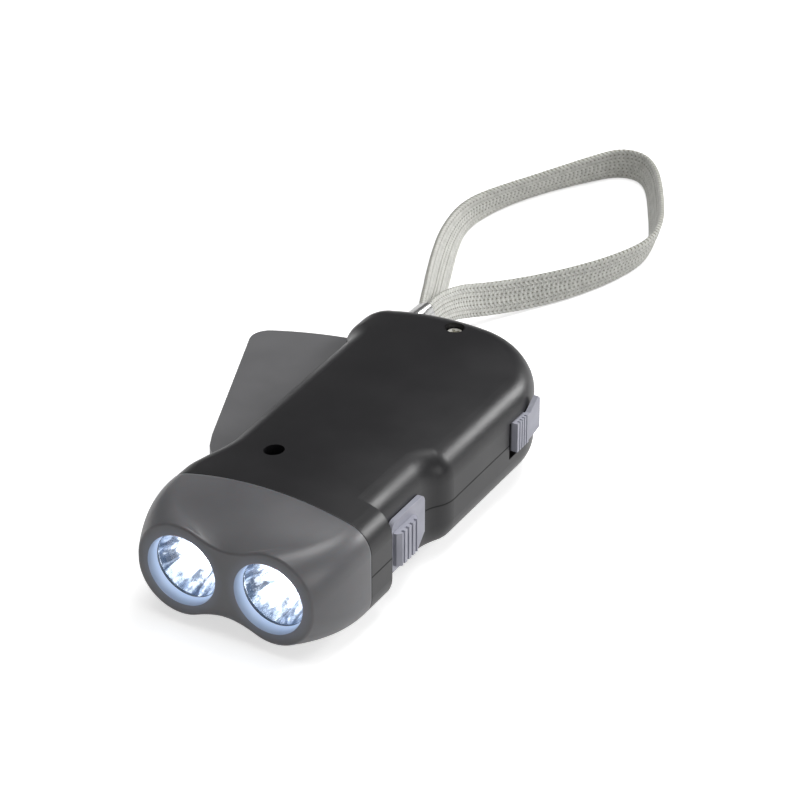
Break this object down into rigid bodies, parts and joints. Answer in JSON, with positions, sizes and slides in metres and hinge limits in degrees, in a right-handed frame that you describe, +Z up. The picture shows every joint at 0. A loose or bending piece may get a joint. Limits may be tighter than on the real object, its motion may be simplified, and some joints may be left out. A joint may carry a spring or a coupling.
{
  "type": "squeeze-lever dynamo torch",
  "caption": "Pocket torch with two LEDs, charged by squeezing a side lever that spins a small geared dynamo; slide switch, lever lock and braided wrist strap.",
  "frame": {"origin": "on the surface the torch lies on, under the middle of its 110 mm body, on the plane between the lenses", "axes": "+X along the beam, +Y towards the switch side, +Z up through the crown with the screws"},
  "size_m": [0.2496, 0.0791, 0.0296],
  "materials": {
    "case_plastic": "satin moulded black ABS, fine grain",
    "smoked_plastic": "translucent smoke-grey moulding",
    "lever_plastic": "satin mid-grey moulding",
    "slide_plastic": "light grey moulding",
    "clear_lens": "clear moulded lens",
    "mirror_coat": "vacuum metallised bowl",
    "led_resin": "water-clear LED resin, lit",
    "gear_nylon": "natural acetal",
    "steel": "plated steel",
    "magnet_ferrite": "sintered ferrite",
    "laminations": "laminated silicon steel",
    "copper_wire": "enamelled copper",
    "board_laminate": "green circuit board",
    "component_black": "moulded component body",
    "strap_braid": "off-white flat braid"
  },
  "bodies": {
    "case": {"anchor_pin": "steel", "battery_cell": "steel", "bridge_screws": "steel", "case_screws": "steel", "cell_clip": "steel", "circuit_board": "board_laminate", "coil_bobbin": "gear_nylon", "coil_winding": "copper_wire", "drive_axle": "steel", "gear_bridge": "gear_nylon", "head_shroud": "smoked_plastic", "led_board": "board_laminate", "led_left": "led_resin", "led_right": "led_resin", "lens_left": "clear_lens", "lens_right": "clear_lens", "lever_pin": "steel", "lower_housing": "case_plastic", "rectifier_diodes": "component_black", "reflector_left": "mirror_coat", "reflector_right": "mirror_coat", "rotor_axle": "steel", "smoothing_capacitor": "component_black", "stator_core": "laminations", "step_axle": "steel", "strap_clip": "steel", "switch_body": "component_black", "upper_housing": "case_plastic", "wrist_strap": "strap_braid"},
    "lever": {"lever": "lever_plastic", "lever_spring": "steel"},
    "drive_wheel": {"drive_gear": "gear_nylon"},
    "step_wheel": {"step_gear": "gear_nylon"},
    "rotor": {"rotor": "gear_nylon", "rotor_magnet": "magnet_ferrite"},
    "switch_knob": {"switch_slider": "slide_plastic"},
    "lever_lock": {"latch_slider": "slide_plastic"}
  },
  "joints": [
    {"name": "lever_squeeze", "type": "hinge", "parent": "case", "child": "lever", "pos_m": [0.0302, -0.0126, 0.0147], "axis": [0, 0, 1], "range_deg": [-18, 0], "stiffness_Nm_per_rad": 0.25, "springref_deg": 20.05},
    {"name": "drive_spin", "type": "hinge", "parent": "case", "child": "drive_wheel", "pos_m": [-0.00786, 0.00125, 0.0147], "axis": [0, 0, 1], "range_deg": [0, 146]},
    {"name": "step_spin", "type": "hinge", "parent": "case", "child": "step_wheel", "pos_m": [-0.01981, 0.01128, 0.0147], "axis": [0, 0, 1], "range_deg": [-328, 0]},
    {"name": "rotor_spin", "type": "hinge", "parent": "case", "child": "rotor", "pos_m": [-0.03202, 0.00683, 0.0147], "axis": [0, 0, 1], "range_deg": [0, 620]},
    {"name": "switch_slide", "type": "slide", "parent": "case", "child": "switch_knob", "axis": [1, 0, 0], "range_m": [0, 0.003]},
    {"name": "lock_slide", "type": "slide", "parent": "case", "child": "lever_lock", "axis": [1, 0, 0], "range_m": [-0.003, 0]}
  ],
  "couplings": [
    {"joint": "drive_spin", "follows": "lever_squeeze", "ratio": -8},
    {"joint": "step_spin", "follows": "lever_squeeze", "ratio": 18},
    {"joint": "rotor_spin", "follows": "lever_squeeze", "ratio": -34}
  ]
}
